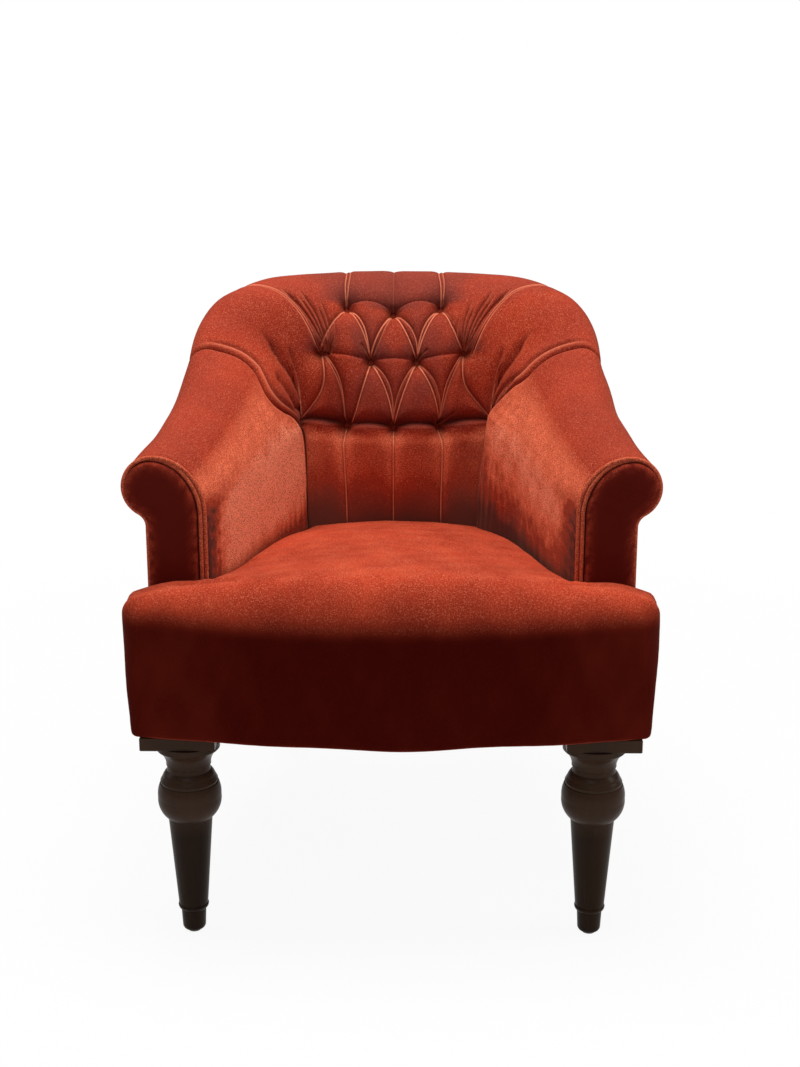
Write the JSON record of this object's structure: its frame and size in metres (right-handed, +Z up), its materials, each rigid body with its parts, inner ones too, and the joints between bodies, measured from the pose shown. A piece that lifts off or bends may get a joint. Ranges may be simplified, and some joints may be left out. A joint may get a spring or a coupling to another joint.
{
  "type": "lounge chair",
  "caption": "Low tub lounge chair with scrolled arms, a button-tufted rolled back, a bow-fronted sprung seat, turned front legs and swept rear legs.",
  "frame": {"origin": "on the floor, below the middle of the chair's overall width and depth", "axes": "+Z up, the seat faces -Y, +X to the right as seen from the front; the chair is symmetric about X = 0"},
  "size_m": [0.7154, 0.778, 0.8512],
  "materials": {
    "velvet": "rust velvet with a soft sheen",
    "stained_wood": "near-black stain, satin lacquer",
    "frame_timber": "unfinished hardwood",
    "steel": "zinc plated",
    "webbing": "woven jute",
    "foam": "open-cell foam",
    "felt": "pressed felt",
    "twine": "waxed twine",
    "dust_cloth": "thin black non-woven cloth",
    "glide_plastic": "hard nylon"
  },
  "bodies": {
    "root": {"front_leg_right": "stained_wood", "front_plinth_right": "stained_wood", "rear_leg_right": "stained_wood", "side_rail_right": "frame_timber", "rear_corner_rail_right": "frame_timber", "corner_block_front_right": "frame_timber", "corner_block_rear_right": "frame_timber", "arm_rail_right": "frame_timber", "arm_post_right": "frame_timber", "back_post_right": "frame_timber", "arm_tack_rail_right": "frame_timber", "arm_pad_right": "velvet", "arm_facing_right": "velvet", "arm_welt_right": "velvet", "outside_arm_right": "velvet", "front_leg_left": "stained_wood", "front_plinth_left": "stained_wood", "rear_leg_left": "stained_wood", "side_rail_left": "frame_timber", "rear_corner_rail_left": "frame_timber", "corner_block_front_left": "frame_timber", "corner_block_rear_left": "frame_timber", "arm_rail_left": "frame_timber", "arm_post_left": "frame_timber", "back_post_left": "frame_timber", "arm_tack_rail_left": "frame_timber", "arm_pad_left": "velvet", "arm_facing_left": "velvet", "arm_welt_left": "velvet", "outside_arm_left": "velvet", "foot_glides": "glide_plastic", "leg_bolts": "steel", "leg_inserts": "steel", "front_rail": "frame_timber", "back_rail": "frame_timber", "frame_dowels": "frame_timber", "crest_rail": "frame_timber", "back_tack_rail": "frame_timber", "back_webbing": "webbing", "seat_springs": "steel", "spring_clips": "steel", "seat_insulator": "felt", "seat_foam": "foam", "seat_pad": "velvet", "back_pad": "velvet", "back_buttons": "velvet", "button_twines": "twine", "outside_back": "velvet", "dust_cover": "dust_cloth"}
  },
  "joints": []
}
